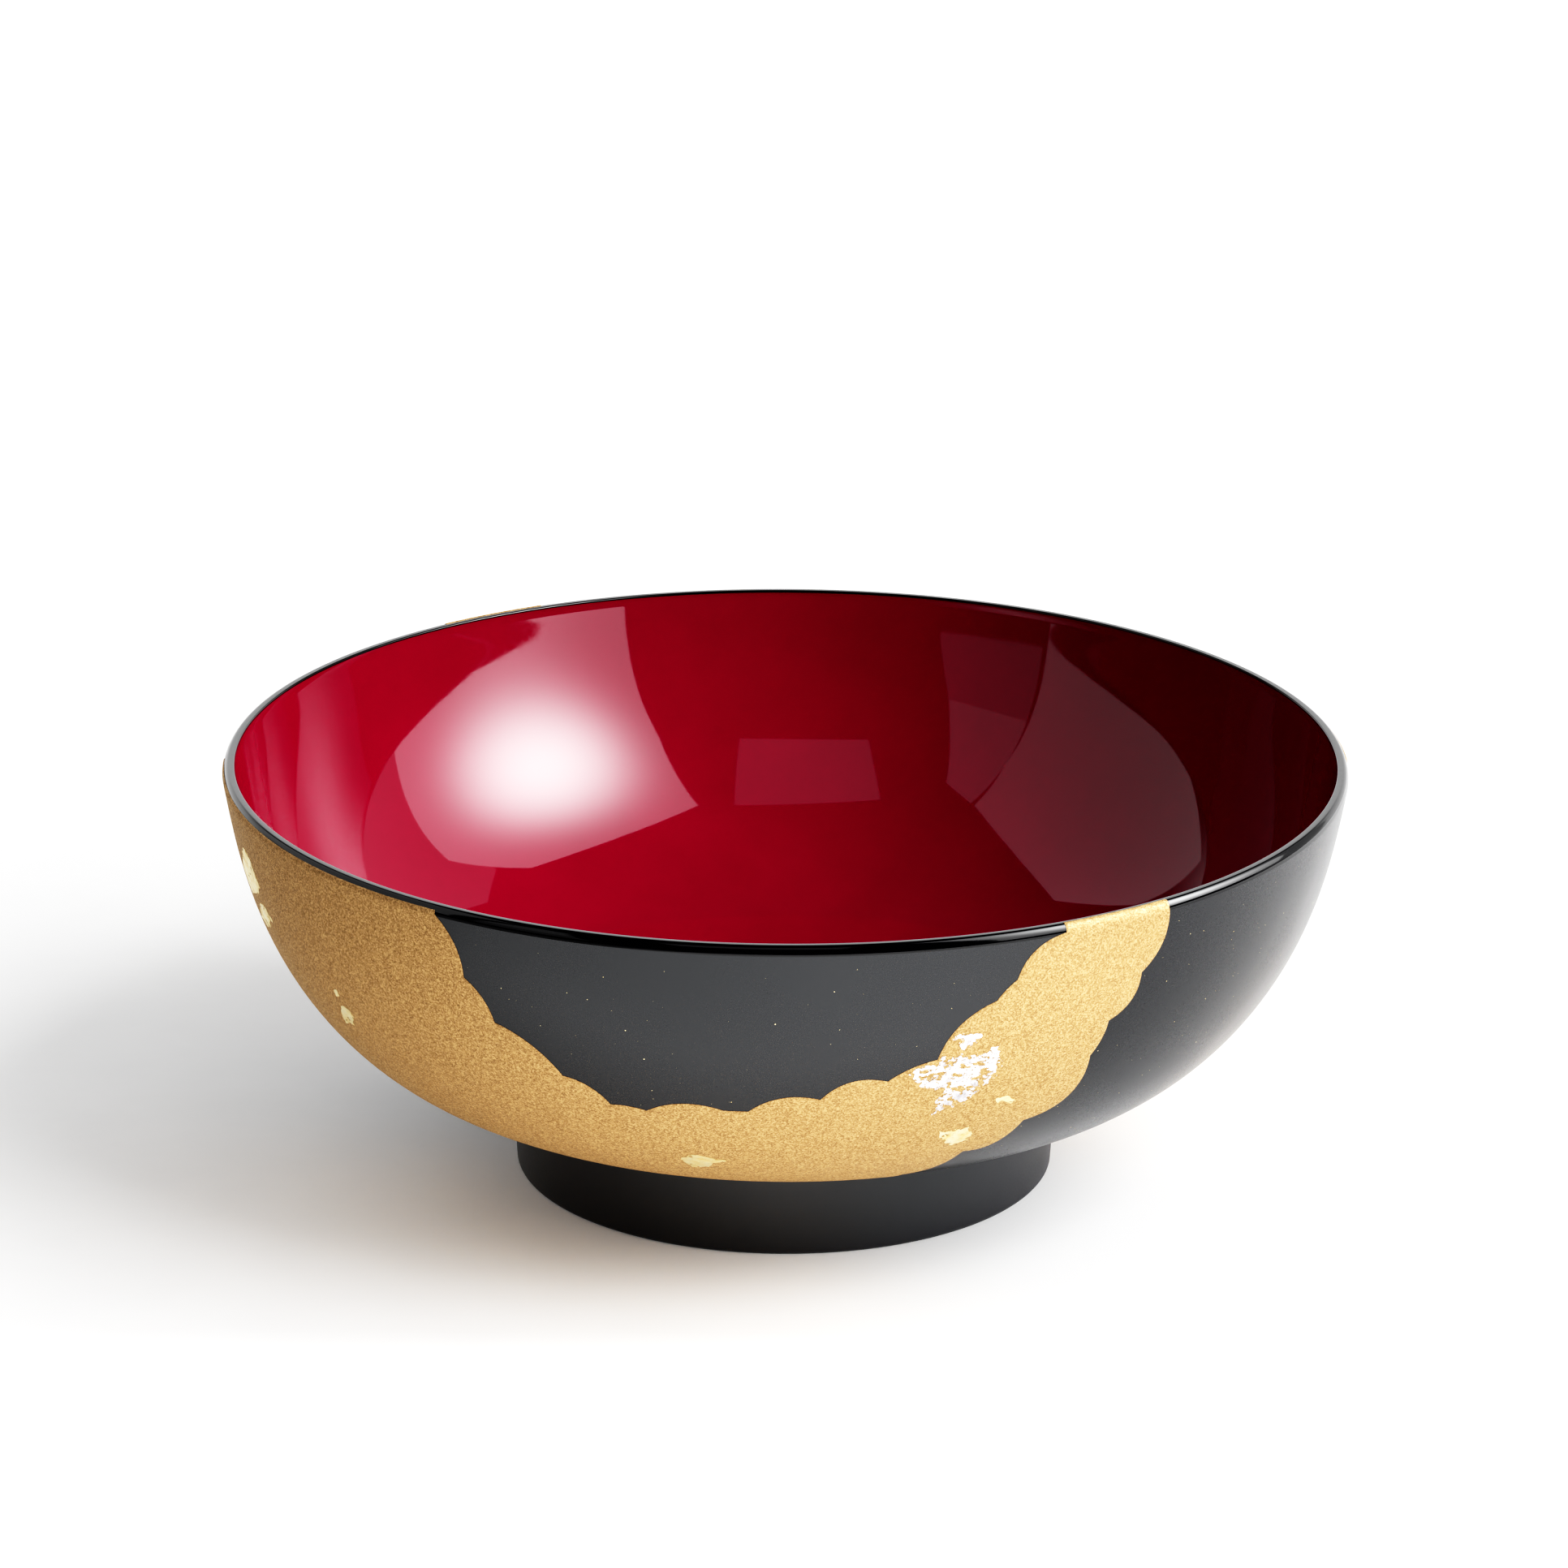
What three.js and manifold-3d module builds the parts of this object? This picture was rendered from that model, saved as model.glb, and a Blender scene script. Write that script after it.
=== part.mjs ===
// A round lacquered serving bowl on a turned foot.
//
// A thin turned wooden body stands on a separate foot ring, whose tongue is glued into a groove
// in the body's underside. Lacquer covers both: satin black outside, glossy red inside, glossy
// black on the lip. Two scalloped clouds of gold powder lie on the outer wall, with torn pieces
// of silver and gold leaf on them. The second cloud is the first one turned half way round.
//
// Units are millimetres and +Z is up. The origin is the centre of the circle that the foot
// stands on. Azimuth is measured in degrees from -Y, the front, towards +X.

import * as THREE from 'three';
import { mergeVertices } from 'three/addons/utils/BufferGeometryUtils.js';
import Module from 'manifold-3d';

const wasm = await Module();
wasm.setup();

// ---------------------------------------------------------------- driving dimensions

const RIM_RADIUS = 120;          // outer wall where it meets the lip
const RIM_HEIGHT = 90;
const UNDERSIDE_HEIGHT = 19;     // underside of the bowl above the surface it stands on
const FLOOR_THICKNESS = 5;       // whole wall at the middle of the bowl
const RIM_THICKNESS = 2.6;       // whole wall at the lip
const LIP_START = 89.6;          // height where the rounding of the lip begins
const LIP_RISE = 2;              // from there to the top of the lip
const LIP_WIDTH = 2.5;

const COAT = 0.35;               // thickness of a lacquer coat
const GLUE_GAP = 0.05;           // clearance between a coat and the wood under it
const CLOUD = 0.24;              // thickness of the gold powder layer
const LEAF = 0.12;               // thickness of a piece of leaf with its clear coat
const LAYER_GAP = 0.06;          // clearance under each decorative layer

const FOOT_BASE_RADIUS = 57.9;
const FOOT_TOP_RADIUS = 59;
const FOOT_TOP_HEIGHT = 20.3;
const FOOT_WALL = 6;             // foot ring with its coats, at the base
const FOOT_EDGE_ROUND = 1.2;     // rounding of both edges of the foot's base
const WELL_TOP_RADIUS = 50.9;    // hollow inside the foot ring, where it meets the underside
const WELL_TOP_HEIGHT = 19.4;
const SEAT_HEIGHT = 21;          // flat annular seat that the foot ring is glued to
const TONGUE_INNER = 53;
const TONGUE_OUTER = 56;
const TONGUE_RISE = 1.5;
const JOINT_GAP = 0.1;           // clearance all round the foot ring's glued joint

const SEGMENTS = 48;             // facets round every turned piece, the same for all
const WALL_STEPS = 8;
const FLOOR_STEPS = 2;
const ARC_STEPS = 3;

// Outer face of the wall: radius and height of the control points of one fifth-degree curve.
const WALL_CONTROL = [
  [0, UNDERSIDE_HEIGHT], [78, UNDERSIDE_HEIGHT], [79, 17],
  [112.5, 40], [115.5, 65], [RIM_RADIUS, RIM_HEIGHT],
].map(([radius, height]) => new THREE.Vector2(radius, height));

// ---------------------------------------------------------------- the wall's section

// Point at t on the wall's curve, and the curve's direction there.
function wallCurve(t) {
  let points = WALL_CONTROL;
  while (points.length > 2) {
    points = points.slice(1).map((point, i) => points[i].clone().lerp(point, t));
  }
  return {
    point: points[0].clone().lerp(points[1], t),
    direction: points[1].clone().sub(points[0]).normalize(),
  };
}

// Point that lies depth millimetres inside the outer face; a negative depth is outside it.
function wallPoint(t, depth) {
  const { point, direction } = wallCurve(t);
  return new THREE.Vector2(point.x - direction.y * depth, point.y + direction.x * depth);
}

// Value of t where the outer face reaches a radius or a height.
function wallAt(component, value) {
  let low = 0;
  let high = 1;
  for (let i = 0; i < 40; i += 1) {
    const middle = (low + high) / 2;
    if (wallCurve(middle).point[component] < value) low = middle;
    else high = middle;
  }
  return low;
}

const T_FOOT = wallAt('x', FOOT_TOP_RADIUS + 0.4);   // the outer coat starts just past the foot
const T_WELL = wallAt('x', WELL_TOP_RADIUS - 0.5);   // the underside's coat ends just inside it
const T_LIP = wallAt('y', LIP_START - 0.1);

const LIP_INNER = RIM_RADIUS - LIP_WIDTH - GLUE_GAP;
const LIP_TOP = LIP_START + LIP_RISE;
const LINING_TOP = LIP_TOP - COAT - 0.15;

const wallThickness = (t) => THREE.MathUtils.lerp(FLOOR_THICKNESS, RIM_THICKNESS, t);

// Points along the wall from one t to another, at a depth given by a function of t.
function wallPath(start, end, steps, depth) {
  const points = [];
  for (let i = 0; i <= steps; i += 1) {
    const t = THREE.MathUtils.lerp(start, end, i / steps);
    points.push(wallPoint(t, depth(t)));
  }
  return points;
}

// Quarter of the lip's rounding, from the outer wall to the inner edge, inset from its surface.
function lipArc(inset, endAngle = 90) {
  const points = [];
  for (let i = 0; i <= ARC_STEPS; i += 1) {
    const angle = THREE.MathUtils.degToRad(endAngle * i / ARC_STEPS);
    points.push(new THREE.Vector2(
      LIP_INNER + (LIP_WIDTH - inset) * Math.cos(angle),
      LIP_START + (LIP_RISE - inset) * Math.sin(angle),
    ));
  }
  return points;
}

// ---------------------------------------------------------------- solids

// A turned solid from a section that runs anticlockwise, as [radius, height] points.
function turned(section) {
  const points = section.map((p) => (Array.isArray(p) ? new THREE.Vector2(...p) : p));
  const geometry = new THREE.LatheGeometry(points, SEGMENTS);
  geometry.rotateX(Math.PI / 2);
  return geometry;
}

// A turned ring: its section closes on itself.
const turnedRing = (section) => turned([...section, section[0]]);

// A three.js geometry as a solid for joining and cutting.
function toSolid(geometry) {
  const bare = geometry.clone();
  bare.deleteAttribute('normal');
  bare.deleteAttribute('uv');
  const merged = mergeVertices(bare);
  return new wasm.Manifold(new wasm.Mesh({
    numProp: 3,
    vertProperties: Float32Array.from(merged.attributes.position.array),
    triVerts: Uint32Array.from(merged.index.array),
  }));
}

// A cut solid as a three.js geometry.
function toGeometry(solid) {
  const { vertProperties, triVerts } = solid.getMesh();
  const geometry = new THREE.BufferGeometry();
  geometry.setAttribute('position', new THREE.BufferAttribute(vertProperties, 3));
  geometry.setIndex(new THREE.BufferAttribute(triVerts, 1));
  geometry.computeVertexNormals();
  return geometry;
}

// ---------------------------------------------------------------- turned pieces

function woodBody() {
  const seat = SEAT_HEIGHT;
  const grooveTop = SEAT_HEIGHT + TONGUE_RISE + JOINT_GAP;
  const depth = () => COAT + GLUE_GAP;
  const lining = (t) => wallThickness(t) - COAT - GLUE_GAP;
  return turned([
    ...wallPath(0, T_WELL, FLOOR_STEPS, depth),
    [WELL_TOP_RADIUS - 0.4, seat],
    [TONGUE_INNER - JOINT_GAP, seat],
    [TONGUE_INNER - JOINT_GAP, grooveTop],
    [TONGUE_OUTER + JOINT_GAP, grooveTop],
    [TONGUE_OUTER + JOINT_GAP, seat],
    [FOOT_TOP_RADIUS + 0.2, seat],
    ...wallPath(T_FOOT, T_LIP, WALL_STEPS, depth),
    ...lipArc(COAT + GLUE_GAP * 2, 75),
    ...wallPath(1, T_FOOT, WALL_STEPS, lining),
    ...wallPath(T_FOOT, 0, FLOOR_STEPS, lining).slice(1),
  ]);
}

function redLining() {
  const outside = (t) => wallThickness(t) - COAT;
  return turned([
    ...wallPath(0, T_FOOT, FLOOR_STEPS, outside),
    ...wallPath(T_FOOT, 1, WALL_STEPS, outside).slice(1),
    [LIP_INNER + COAT, LINING_TOP],
    [LIP_INNER, LINING_TOP],
    ...wallPath(1, T_FOOT, WALL_STEPS, wallThickness),
    ...wallPath(T_FOOT, 0, FLOOR_STEPS, wallThickness).slice(1),
  ]);
}

// A layer on the outer wall from the foot to the lip, between two depths.
function wallLayer(outerDepth, innerDepth) {
  return turnedRing([
    ...wallPath(T_FOOT, T_LIP, WALL_STEPS, () => outerDepth),
    ...wallPath(T_LIP, T_FOOT, WALL_STEPS, () => innerDepth),
  ]);
}

function blackLip() {
  return turnedRing([
    ...lipArc(0),
    [LIP_INNER, LIP_TOP - COAT],
    ...lipArc(COAT).reverse().slice(1),
  ]);
}

// Half section of the foot, inset from its finished surface: down the outside, across the base
// and up the inside of the well.
function footPath(inset, outerTop, innerTop) {
  const round = FOOT_EDGE_ROUND - inset;
  const outerCentre = FOOT_BASE_RADIUS - FOOT_EDGE_ROUND;
  const innerCentre = FOOT_BASE_RADIUS - FOOT_WALL + FOOT_EDGE_ROUND;
  const points = [];
  for (let i = 0; i <= ARC_STEPS; i += 1) {
    const angle = (Math.PI / 2) * (i / ARC_STEPS);
    points.push([outerCentre + round * Math.cos(angle), FOOT_EDGE_ROUND - round * Math.sin(angle)]);
  }
  for (let i = 0; i <= ARC_STEPS; i += 1) {
    const angle = (Math.PI / 2) * (1 - i / ARC_STEPS);
    points.push([innerCentre - round * Math.cos(angle), FOOT_EDGE_ROUND - round * Math.sin(angle)]);
  }
  return [
    [FOOT_TOP_RADIUS - inset, outerTop], ...points, [WELL_TOP_RADIUS + inset, innerTop],
  ];
}

function footCoat() {
  return turnedRing([
    ...footPath(COAT, FOOT_TOP_HEIGHT, WELL_TOP_HEIGHT),
    ...footPath(0, FOOT_TOP_HEIGHT, WELL_TOP_HEIGHT).reverse(),
  ]);
}

function footRing() {
  const top = SEAT_HEIGHT - JOINT_GAP;
  return turnedRing([
    [TONGUE_INNER, top],
    ...footPath(COAT + GLUE_GAP, top, top).reverse(),
    [TONGUE_OUTER, top],
    [TONGUE_OUTER, top + TONGUE_RISE],
    [TONGUE_INNER, top + TONGUE_RISE],
  ]);
}

function undersideCoat() {
  return turned([
    ...wallPath(0, T_WELL, FLOOR_STEPS, () => 0),
    ...wallPath(T_WELL, 0, FLOOR_STEPS, () => COAT),
  ]);
}

// ---------------------------------------------------------------- decoration

// The decoration is drawn on the unrolled wall: girth across, height up.
const GIRTH_PER_DEGREE = 2;
const CUTTER_INNER = 5;
const CUTTER_REACH = 120;        // outer radius of a cutter over its inner radius
const CUTTER_STEPS = 24;
const SCALLOP_DEPTH = 0.3;       // reach of a scallop's curve over its chord
const ABOVE_RIM = 96;
const BELOW_WALL = 15;

// Points where two scallops meet, as [azimuth, height], clockwise round the front cloud.
const CLOUD_INNER_EDGE = [
  [-36, 90], [-33.4, 76.8], [-30.6, 67.5], [-23.8, 57], [-19, 51], [-15, 50.4], [-6.5, 52],
  [-3.8, 52], [3.8, 55.3], [10.7, 59.4], [15.7, 64], [21.2, 76.6], [23.2, 81], [28, 90],
];
const CLOUD_OUTER_EDGE = [
  [40.3, 90], [37.9, 76.7], [34.9, 66.8], [33.8, 58.7], [28.4, 43.6], [22.5, 36], [17, 27.5],
  [9, BELOW_WALL],
];
const CLOUD_FAR_END = [
  [-89, BELOW_WALL], [-88.5, 36], [-89.5, 53], [-88.5, 66], [-90, 80], [-89, ABOVE_RIM],
];

// Torn pieces of leaf in the front cloud, each a few corners as [azimuth, height].
const LEAVES = {
  silver_leaf_large: [
    [13, 62.5], [15.3, 63.5], [19.9, 64.3], [22, 65.6], [22.7, 60], [21.3, 55], [18.7, 51.2],
    [16.6, 50.6], [16.8, 54.5], [17.4, 56.8], [15, 57], [13.6, 59],
  ],
  silver_leaf_small: [[17, 68.8], [17.7, 70.3], [20.2, 69.2], [19.6, 67], [18.2, 66.4]],
  gold_leaf_patch: [[17.7, 44.4], [21.2, 44.6], [22.3, 41.5], [20.5, 39], [18.8, 41.5]],
  gold_leaf_hook: [[23.3, 51.9], [24.7, 52.3], [25.9, 50], [24.8, 50.6], [23.6, 50.7]],
  gold_leaf_torn: [[-12.7, 36], [-11, 37.8], [-6.6, 36.7], [-8.4, 34.4], [-11.5, 32.5]],
  gold_leaf_long: [
    [-73.2, 82], [-70.9, 81.2], [-69.2, 75.6], [-70.9, 73], [-75.7, 70], [-77.2, 75],
  ],
  gold_leaf_side: [[-72, 70], [-69.6, 71], [-68, 69], [-72.5, 64.4], [-74.6, 65]],
  gold_leaf_chip: [[-55.2, 58], [-53.9, 57.2], [-53.7, 55.5], [-55, 53.4], [-57, 52.2]],
  gold_leaf_speck: [[-55.7, 61.3], [-55, 61.8], [-54.8, 60.2], [-55.8, 59.5]],
};

const unrolled = ([azimuth, height]) => new THREE.Vector2(azimuth * GIRTH_PER_DEGREE, height);

// Follows an edge's corners with scallops that swell to the left of the way the outline runs.
function addScallops(path, corners) {
  path.lineTo(corners[0].x, corners[0].y);
  corners.slice(1).forEach((to, i) => {
    const from = corners[i];
    const chord = to.clone().sub(from);
    const swell = new THREE.Vector2(-chord.y, chord.x).multiplyScalar(SCALLOP_DEPTH);
    const control = from.clone().lerp(to, 0.5).add(swell);
    path.quadraticCurveTo(control.x, control.y, to.x, to.y);
  });
}

function cloudShape() {
  const edges = [CLOUD_INNER_EDGE, CLOUD_OUTER_EDGE, CLOUD_FAR_END];
  const [inner, outer, farEnd] = edges.map((edge) => edge.map(unrolled));
  const shape = new THREE.Shape();
  shape.moveTo(farEnd.at(-1).x, ABOVE_RIM);
  shape.lineTo(inner[0].x, ABOVE_RIM);
  addScallops(shape, inner);
  shape.lineTo(inner.at(-1).x, ABOVE_RIM);
  shape.lineTo(outer[0].x, ABOVE_RIM);
  addScallops(shape, outer);
  addScallops(shape, farEnd);
  return shape;
}

// A solid that reaches from near the axis far past the wall, with the outline of a shape.
function radialCutter(shape) {
  const geometry = new THREE.ExtrudeGeometry(shape, {
    depth: 1, steps: CUTTER_STEPS, curveSegments: ARC_STEPS, bevelEnabled: false,
  });
  const position = geometry.attributes.position;
  for (let i = 0; i < position.count; i += 1) {
    const azimuth = THREE.MathUtils.degToRad(position.getX(i) / GIRTH_PER_DEGREE);
    const radius = CUTTER_INNER * CUTTER_REACH ** position.getZ(i);
    position.setXYZ(i, radius * Math.sin(azimuth), -radius * Math.cos(azimuth), position.getY(i));
  }
  return toSolid(geometry);
}

const CLOUD_TOP = LAYER_GAP + CLOUD;
const LEAF_TOP = CLOUD_TOP + LAYER_GAP + LEAF;
const cloudLayer = toSolid(wallLayer(-CLOUD_TOP, -LAYER_GAP));
const leafLayer = toSolid(wallLayer(-LEAF_TOP, -LEAF_TOP + LEAF));

const cloud = () => toGeometry(cloudLayer.intersect(radialCutter(cloudShape())));

function leaf(corners) {
  const shape = new THREE.Shape(corners.map(unrolled));
  return toGeometry(leafLayer.intersect(radialCutter(shape)));
}

// ---------------------------------------------------------------- materials and assembly

const finish = (color, roughness, metalness = 0) => (
  new THREE.MeshStandardMaterial({ color, roughness, metalness })
);

const bowl = new THREE.Group();

function add(name, geometry, material, parent = bowl) {
  const mesh = new THREE.Mesh(geometry, material);
  mesh.name = name;
  parent.add(mesh);
}

add('wood_body', woodBody(), finish(0xb98a55, 0.7));
add('foot_ring', footRing(), finish(0xb98a55, 0.7));
add('red_lining', redLining(), finish(0xa80020, 0.12));
add('black_outer_coat', wallLayer(0, COAT), finish(0x191a1c, 0.4));
add('black_lip', blackLip(), finish(0x08080a, 0.1));
add('foot_coat', footCoat(), finish(0x131118, 0.45));
add('underside_coat', undersideCoat(), finish(0x131118, 0.45));

for (const [side, turn] of [['front', 0], ['back', Math.PI]]) {
  const decoration = new THREE.Group();
  decoration.rotation.z = turn;
  bowl.add(decoration);
  add(`gold_cloud_${side}`, cloud(), finish(0xc49a50, 0.45, 0.6), decoration);
  for (const [name, corners] of Object.entries(LEAVES)) {
    const metal = name.startsWith('silver') ? 0xe8e8ea : 0xf0d890;
    add(`${name}_${side}`, leaf(corners), finish(metal, 0.3, 0.9), decoration);
  }
}

export default bowl;
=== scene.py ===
import math
import random

import bpy
import numpy as np
from mathutils import Matrix, Vector, noise
from mathutils.geometry import delaunay_2d_cdt


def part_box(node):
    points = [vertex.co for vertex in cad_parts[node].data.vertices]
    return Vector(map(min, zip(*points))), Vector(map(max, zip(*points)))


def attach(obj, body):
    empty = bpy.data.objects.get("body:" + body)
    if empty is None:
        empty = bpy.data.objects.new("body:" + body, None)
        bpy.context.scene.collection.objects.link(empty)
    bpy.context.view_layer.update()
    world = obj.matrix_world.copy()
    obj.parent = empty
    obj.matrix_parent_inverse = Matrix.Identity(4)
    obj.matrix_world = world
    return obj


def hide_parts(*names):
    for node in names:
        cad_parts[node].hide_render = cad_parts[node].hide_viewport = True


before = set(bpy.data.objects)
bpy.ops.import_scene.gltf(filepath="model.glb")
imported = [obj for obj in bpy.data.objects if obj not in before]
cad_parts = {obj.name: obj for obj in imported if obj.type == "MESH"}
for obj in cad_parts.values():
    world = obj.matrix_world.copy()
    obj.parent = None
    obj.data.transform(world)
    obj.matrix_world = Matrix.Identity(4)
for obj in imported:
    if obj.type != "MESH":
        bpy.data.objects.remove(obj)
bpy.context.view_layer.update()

# ---------------------------------------------------------------- driving dimensions
# Lengths are in metres. The lip's and the foot's ends come from the CAD parts in model.glb, and the rest
# of the section is the CAD model's own. WALL_CONTROL is the outer wall's curve, as radius and height.

MM = 0.001
foot_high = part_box("foot_coat")[1]
lip_low, lip_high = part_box("black_lip")

RIM_RADIUS = 120 * MM
WALL_CONTROL = np.array([
    (0, 19), (78, 19), (79, 17), (112.5, 40), (115.5, 65), (120, 90),
]) * MM
FLOOR_THICKNESS = 5 * MM
RIM_THICKNESS = 2.6 * MM
COAT = 0.35 * MM
GLUE_GAP = 0.05 * MM

LIP_START = lip_low.z
LIP_TOP = lip_high.z
LIP_OUTER = lip_high.y
LIP_INNER = LIP_OUTER - 2.5 * MM
LIP_EDGE_ROUND = 0.3 * MM
LIP_FLAT = 1.0 * MM
LINING_TOP = LIP_TOP - 0.5 * MM

FOOT_TOP = foot_high.z
FOOT_TOP_RADIUS = foot_high.y
FOOT_BASE_RADIUS = FOOT_TOP_RADIUS - 1.1 * MM
FOOT_WALL = 6 * MM
FOOT_EDGE_ROUND = 1.2 * MM
WELL_TOP_RADIUS = 50.9 * MM
WELL_TOP = 19.4 * MM
SEAT_HEIGHT = 21 * MM
TONGUE_INNER = 53 * MM
TONGUE_OUTER = 56 * MM
TONGUE_RISE = 1.5 * MM
JOINT_GAP = 0.1 * MM

# ---------------------------------------------------------------- the wall's section


def wall_curve(t):
    """Points of the outer face at the values t, and the directions there."""
    t = np.atleast_1d(np.asarray(t, float))[:, None]
    points = [np.broadcast_to(p, (len(t), 2)) for p in WALL_CONTROL]
    while len(points) > 2:
        points = [a * (1 - t) + b * t for a, b in zip(points, points[1:])]
    step = points[1] - points[0]
    step = step / np.linalg.norm(step, axis=1, keepdims=True)
    return points[0] * (1 - t) + points[1] * t, step


def wall_path(start, end, steps, depth):
    """Points along the wall at a depth inside its outer face, given as a function of t."""
    t = np.linspace(start, end, steps + 1)
    point, step = wall_curve(t)
    inward = np.stack([-step[:, 1], step[:, 0]], axis=1)
    return point + inward * np.asarray(depth(t))[:, None]


def wall_at(axis, value):
    """The t where the outer face reaches a radius (axis 0) or a height (axis 1)."""
    t = np.linspace(0, 1, 4001)
    return float(np.interp(value, wall_curve(t)[0][:, axis], t))


def thickness(t):
    return FLOOR_THICKNESS + (RIM_THICKNESS - FLOOR_THICKNESS) * t


def coat_depth(t):
    return np.full_like(t, COAT)


def arc(centre, radii, start, end, steps):
    """Points of an elliptical arc between two angles in degrees."""
    angle = np.radians(np.linspace(start, end, steps + 1))
    return np.stack([
        centre[0] + radii[0] * np.cos(angle),
        centre[1] + radii[1] * np.sin(angle),
    ], axis=1)


T_FOOT = wall_at(0, FOOT_TOP_RADIUS + 0.2 * MM)
T_WELL = wall_at(0, WELL_TOP_RADIUS - 0.2 * MM)
T_LIP = wall_at(1, LIP_START)


def lip_path(inset, steps):
    """The lip from the outer wall to its inner edge, inset from the surface: a rounding, a flat
    crown and a small inner rounding."""
    flat_end = LIP_INNER + LIP_EDGE_ROUND
    crown = flat_end + LIP_FLAT
    top = arc(
        (crown, LIP_START), (LIP_OUTER - crown - inset, LIP_TOP - LIP_START - inset), 0, 90, steps,
    )
    if inset:
        return np.concatenate([top, [(flat_end, LIP_TOP - inset)]])
    edge = arc(
        (flat_end, LIP_TOP - LIP_EDGE_ROUND), (LIP_EDGE_ROUND, LIP_EDGE_ROUND), 90, 180, steps // 3,
    )
    return np.concatenate([top, edge])


# ---------------------------------------------------------------- mesh helpers

SEGMENTS = 288
WALL_STEPS = 110
CREASE = math.radians(32)


def new_piece(name, node, slot, vertices, faces, material, smooth=True):
    """A mesh in the shared frame that stands for a CAD node, if one is named."""
    mesh = bpy.data.meshes.new(name)
    mesh.from_pydata(vertices, [], faces)
    mesh.validate()
    mesh.polygons.foreach_set("use_smooth", [smooth] * len(mesh.polygons))
    if smooth:
        mesh.set_sharp_from_angle(angle=CREASE)
    mesh.materials.append(material)
    mesh.update()
    piece = bpy.data.objects.new(name, mesh)
    bpy.context.scene.collection.objects.link(piece)
    return dress(piece, node)


def dress(piece, node):
    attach(piece, "root")
    if node:
        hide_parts(node)
    return piece


def turned(section, closes, ripple=None):
    """Vertices and faces of a turned shape. The section runs anticlockwise, as radius and
    height. It closes on itself, or it starts and ends on the axis. ripple(radius, height,
    azimuth) moves points along the radius by a hair, as hand turning and rubbing do."""
    azimuth = np.linspace(0, 2 * math.pi, SEGMENTS, endpoint=False)
    ring = section if closes else section[1:-1]
    radius = np.repeat(ring[:, :1], SEGMENTS, axis=1)
    height = np.repeat(ring[:, 1:], SEGMENTS, axis=1)
    if ripple:
        radius = radius + ripple(radius, height, azimuth[None, :])
    vertices = np.stack([
        radius * np.sin(azimuth), -radius * np.cos(azimuth), height,
    ], axis=2).reshape(-1, 3).tolist()
    count = len(ring)
    faces = []
    for row in range(count if closes else count - 1):
        low, high = row * SEGMENTS, (row + 1) % count * SEGMENTS
        for i in range(SEGMENTS):
            j = (i + 1) % SEGMENTS
            faces.append((low + i, low + j, high + j, high + i))
    if not closes:
        first, last = len(vertices), len(vertices) + 1
        vertices += [[0, 0, section[0][1]], [0, 0, section[-1][1]]]
        top = (count - 1) * SEGMENTS
        for i in range(SEGMENTS):
            j = (i + 1) % SEGMENTS
            faces.append((first, j, i))
            faces.append((last, top + i, top + j))
    return vertices, faces


# ---------------------------------------------------------------- material helpers


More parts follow.
